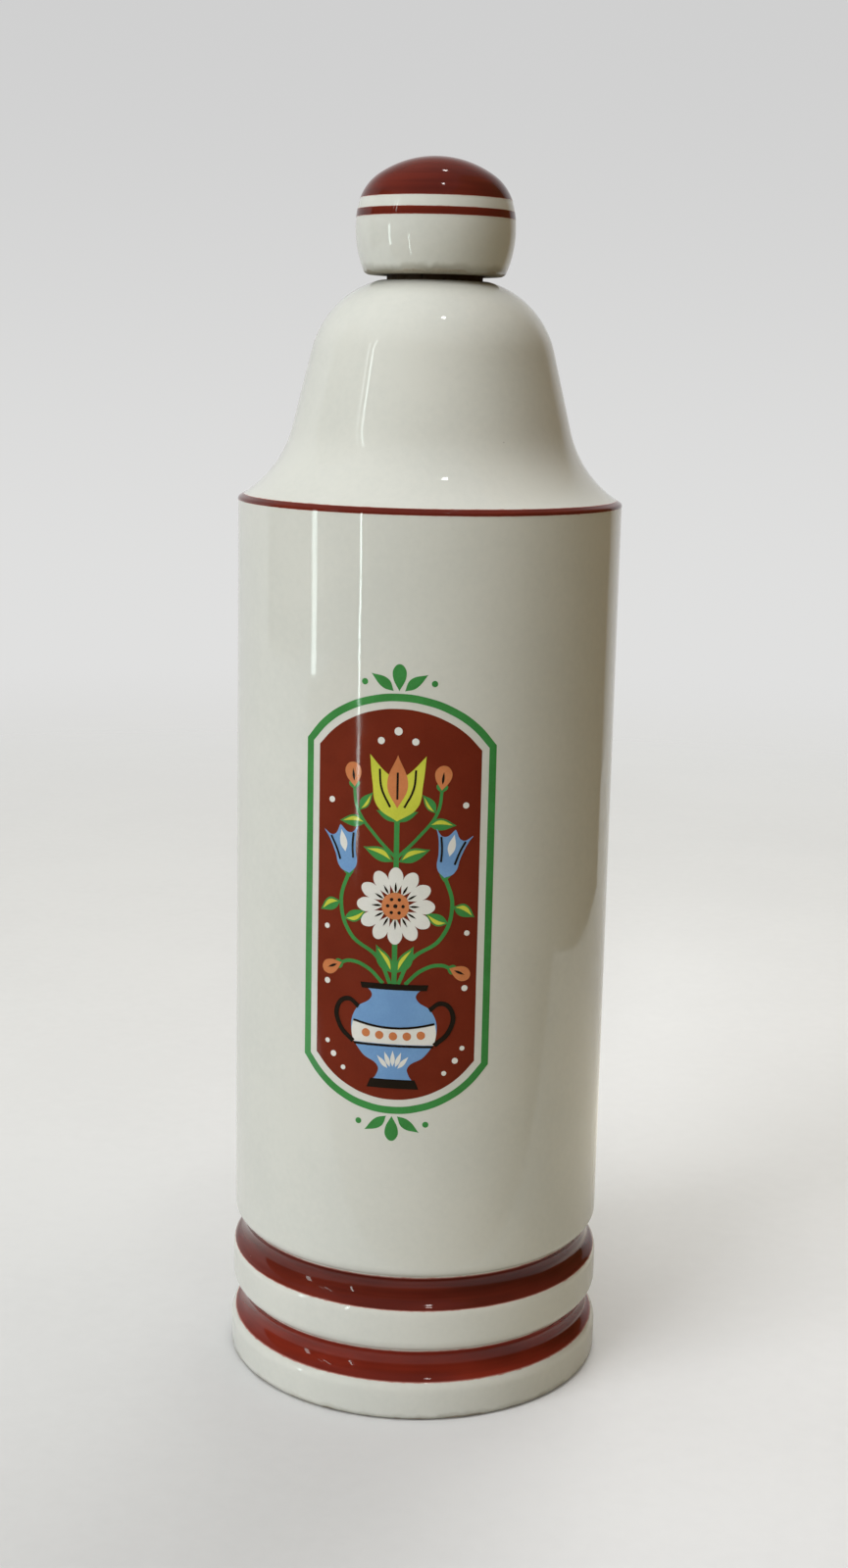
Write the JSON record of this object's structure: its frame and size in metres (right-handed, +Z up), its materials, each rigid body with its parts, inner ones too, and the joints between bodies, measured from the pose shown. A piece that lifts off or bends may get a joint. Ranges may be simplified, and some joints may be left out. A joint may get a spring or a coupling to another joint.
{
  "type": "liquor decanter",
  "caption": "Cylindrical porcelain liquor decanter with a bell shoulder, painted grooves above the foot, a printed front panel and a corked knob stopper that lifts out.",
  "frame": {"origin": "centre of the foot ring's resting face", "axes": "+Z up along the decanter's axis; the printed front faces -Y"},
  "size_m": [0.0816, 0.0816, 0.257],
  "materials": {
    "glazed_porcelain": "clear gloss glaze on white porcelain",
    "fired_enamel": "fired gloss enamel",
    "natural_cork": "cut cork, matt",
    "resin_glue": "set resin"
  },
  "bodies": {
    "decanter": {"decanter_body": "glazed_porcelain", "front_transfer": "fired_enamel"},
    "stopper": {"stopper_knob": "glazed_porcelain", "stopper_cork": "natural_cork", "cork_glue": "resin_glue"}
  },
  "joints": [
    {"name": "stopper_lift", "type": "slide", "parent": "decanter", "child": "stopper", "axis": [0, 0, 1], "range_m": [0, 0.05]}
  ]
}
